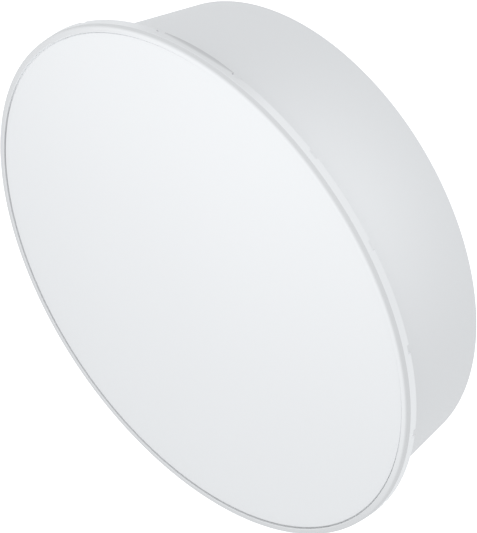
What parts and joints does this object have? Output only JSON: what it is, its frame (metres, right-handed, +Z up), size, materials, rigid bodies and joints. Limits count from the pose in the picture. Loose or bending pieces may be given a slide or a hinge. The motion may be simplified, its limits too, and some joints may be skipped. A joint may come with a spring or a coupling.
{
  "type": "parabolic dish antenna",
  "caption": "Shrouded parabolic dish antenna with a flat radome that leans slightly forward, a convex reflector back, a hub, a small radio housing and a folded mounting bracket.",
  "frame": {"origin": "on the antenna's axis, on the flat rear face of the mounting bracket's web", "axes": "+Y is the bracket's rear face normal, towards the pole or wall; the antenna looks along -Y; +Z is up; +X completes the right-handed frame"},
  "size_m": [0.459, 0.2222, 0.4582],
  "materials": {
    "radome": "satin moulded plastic",
    "shroud": "satin moulded plastic",
    "reflector": "pale grey powder coat",
    "hub": "bare casting",
    "bracket": "zinc plated",
    "fasteners": "stainless",
    "housing": "fine texture",
    "feed": "smooth",
    "gland": "matt"
  },
  "bodies": {
    "root": {"radome": "radome", "shroud": "shroud", "reflector": "reflector", "feed_tube": "feed", "feed_cap": "housing", "backing_ring": "bracket", "hub_plate": "hub", "radio_housing": "housing", "port_cover": "housing", "cable_gland": "gland", "mounting_bracket": "bracket", "hub_bolt_1": "fasteners", "hub_bolt_2": "fasteners", "hub_bolt_3": "fasteners", "hub_bolt_4": "fasteners", "rim_screw_01": "fasteners", "rim_screw_02": "fasteners", "rim_screw_03": "fasteners", "rim_screw_04": "fasteners", "rim_screw_05": "fasteners", "rim_screw_06": "fasteners", "rim_screw_07": "fasteners", "rim_screw_08": "fasteners", "rim_screw_09": "fasteners", "rim_screw_10": "fasteners", "rim_screw_11": "fasteners", "rim_screw_12": "fasteners", "earth_screw": "fasteners"}
  },
  "joints": []
}
